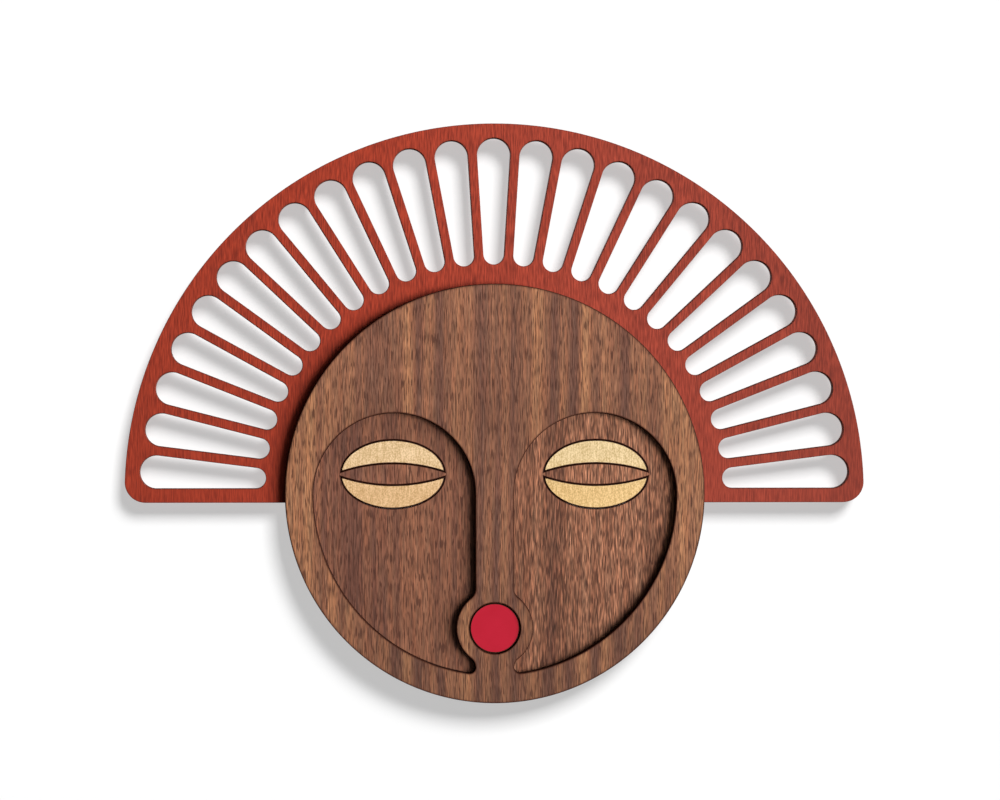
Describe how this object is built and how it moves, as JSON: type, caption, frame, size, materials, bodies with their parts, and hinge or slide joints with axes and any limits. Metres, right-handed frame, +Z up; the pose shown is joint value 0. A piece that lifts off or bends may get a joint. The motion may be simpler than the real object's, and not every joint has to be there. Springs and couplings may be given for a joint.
{
  "type": "african wall mask",
  "caption": "Layered wooden wall mask: a round face with sunk cheeks, gold-lidded eyes and a red mouth under a slotted, fan-shaped crest.",
  "frame": {"origin": "centre of the round face, on the back of the crest board that lies against the wall", "axes": "+Z up, +X to the right of the front view, the face looks along -Y and the back faces +Y"},
  "size_m": [0.4598, 0.012, 0.36],
  "materials": {
    "red_veneer": "red-stained wood veneer, matte, edges charred dark brown",
    "walnut_veneer": "walnut veneer with straight upright grain, satin oiled, edges charred dark brown",
    "gold_finish": "pale gold leaf finish on wood, finely speckled",
    "red_lacquer": "matte red lacquer on wood"
  },
  "bodies": {
    "root": {"crest_plate": "red_veneer", "face_back_plate": "walnut_veneer", "face_front_plate": "walnut_veneer", "left_eye_upper_inlay": "gold_finish", "left_eye_lower_inlay": "gold_finish", "right_eye_upper_inlay": "gold_finish", "right_eye_lower_inlay": "gold_finish", "mouth_inlay": "red_lacquer"}
  },
  "joints": []
}
